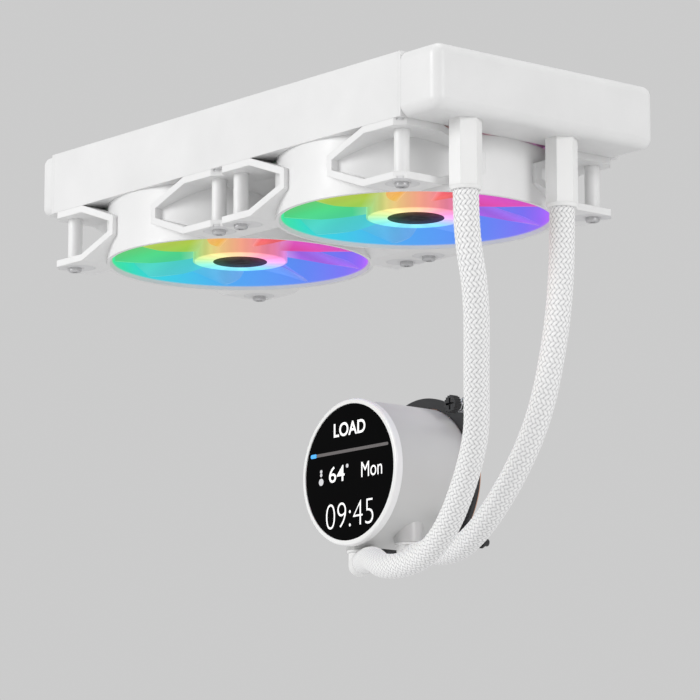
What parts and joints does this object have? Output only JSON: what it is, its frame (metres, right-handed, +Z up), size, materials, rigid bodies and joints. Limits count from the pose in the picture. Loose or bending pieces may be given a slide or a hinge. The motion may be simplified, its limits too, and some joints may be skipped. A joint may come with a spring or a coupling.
{
  "type": "liquid cooling radiator",
  "caption": "Closed-loop liquid cooler: slim radiator with box fans lit in colour below it, sleeved hoses and a round pump head with a face display",
  "frame": {"origin": "centre of the radiator's top face, the centre of the screw pattern that bolts it to its case", "axes": "+Z up out of the radiator's top face, +X along the radiator towards the hose end, -Y the side the display faces"},
  "size_m": [0.272, 0.152, 0.1987],
  "materials": {
    "white_paint": "fine-textured white powder coat",
    "white_plastic": "satin white moulded plastic",
    "aluminium_white": "white-coated aluminium core sheet",
    "brass": "plain brass",
    "rubber_grey": "soft grey rubber",
    "rubber_black": "black rubber",
    "frosted_blade": "frosted translucent plastic lit from the hub",
    "light_diffuser": "milky light diffuser",
    "dark_cap": "near-black smooth plastic",
    "steel": "ground steel",
    "magnet": "dark sintered magnet",
    "bronze": "sintered bronze",
    "lamination": "stacked electrical steel",
    "circuit": "green solder-mask circuit board",
    "sleeve_white": "white braided sleeve over rubber hose",
    "screw_steel": "dark zinc-plated steel",
    "bezel_white": "bright gloss white rim",
    "display_glass": "dark tinted cover glass",
    "display_panel": "lit black display panel",
    "black_plastic": "black moulded plastic",
    "copper": "bare machined copper",
    "black_steel": "black painted steel"
  },
  "bodies": {
    "base": {"front_tank": "white_paint", "rear_tank": "white_paint", "header_plates": "white_paint", "core_tubes": "aluminium_white", "core_fins": "aluminium_white", "side_rails": "white_paint", "fill_plug": "brass", "hose_nipples": "brass", "hose_sleeves": "white_plastic", "fan_a_frame": "white_plastic", "fan_a_pads": "rubber_grey", "fan_a_bearing": "bronze", "fan_a_stator": "lamination", "fan_a_board": "circuit", "fan_b_frame": "white_plastic", "fan_b_pads": "rubber_grey", "fan_b_bearing": "bronze", "fan_b_stator": "lamination", "fan_b_board": "circuit", "fan_screws": "screw_steel", "hose_a": "sleeve_white", "hose_b": "sleeve_white", "pump_elbows": "white_plastic", "bezel_ring": "bezel_white", "display_glass": "display_glass", "display_panel": "display_panel", "display_carrier": "black_plastic", "display_board": "circuit", "pump_housing": "white_plastic", "cable_gland": "rubber_black", "pump_can": "black_plastic", "pump_stator": "lamination", "pump_shaft": "steel", "volute_plate": "black_plastic", "seal_ring": "rubber_black", "cold_plate": "copper", "cold_plate_screws": "steel", "bracket": "black_steel", "bracket_spring_1": "steel", "bracket_spring_2": "steel", "bracket_spring_3": "steel", "bracket_spring_4": "steel"},
    "fan_a_spinner": {"fan_a_rotor": "frosted_blade", "fan_a_light_ring": "light_diffuser", "fan_a_hub_cap": "dark_cap", "fan_a_shaft": "steel", "fan_a_magnet": "magnet"},
    "fan_b_spinner": {"fan_b_rotor": "frosted_blade", "fan_b_light_ring": "light_diffuser", "fan_b_hub_cap": "dark_cap", "fan_b_shaft": "steel", "fan_b_magnet": "magnet"},
    "pump_spinner": {"pump_impeller": "black_plastic", "pump_magnet": "magnet"},
    "captive_1": {"bracket_screw_1": "black_steel"},
    "captive_2": {"bracket_screw_2": "black_steel"},
    "captive_3": {"bracket_screw_3": "black_steel"},
    "captive_4": {"bracket_screw_4": "black_steel"}
  },
  "joints": [
    {"name": "fan_a_spin", "type": "hinge", "parent": "base", "child": "fan_a_spinner", "pos_m": [-0.06, 0, -0.04], "axis": [0, 0, 1], "continuous": true},
    {"name": "fan_b_spin", "type": "hinge", "parent": "base", "child": "fan_b_spinner", "pos_m": [0.06, 0, -0.04], "axis": [0, 0, 1], "continuous": true},
    {"name": "pump_spin", "type": "hinge", "parent": "base", "child": "pump_spinner", "pos_m": [-0.0295, 0.066, -0.1448], "axis": [0, 1, 0], "continuous": true},
    {"name": "captive_1_slide", "type": "slide", "parent": "base", "child": "captive_1", "axis": [0, -1, 0], "range_m": [0, 0.0025], "deforming": ["bracket_spring_1"]},
    {"name": "captive_2_slide", "type": "slide", "parent": "base", "child": "captive_2", "axis": [0, -1, 0], "range_m": [0, 0.0025], "deforming": ["bracket_spring_2"]},
    {"name": "captive_3_slide", "type": "slide", "parent": "base", "child": "captive_3", "axis": [0, -1, 0], "range_m": [0, 0.0025], "deforming": ["bracket_spring_3"]},
    {"name": "captive_4_slide", "type": "slide", "parent": "base", "child": "captive_4", "axis": [0, -1, 0], "range_m": [0, 0.0025], "deforming": ["bracket_spring_4"]}
  ]
}
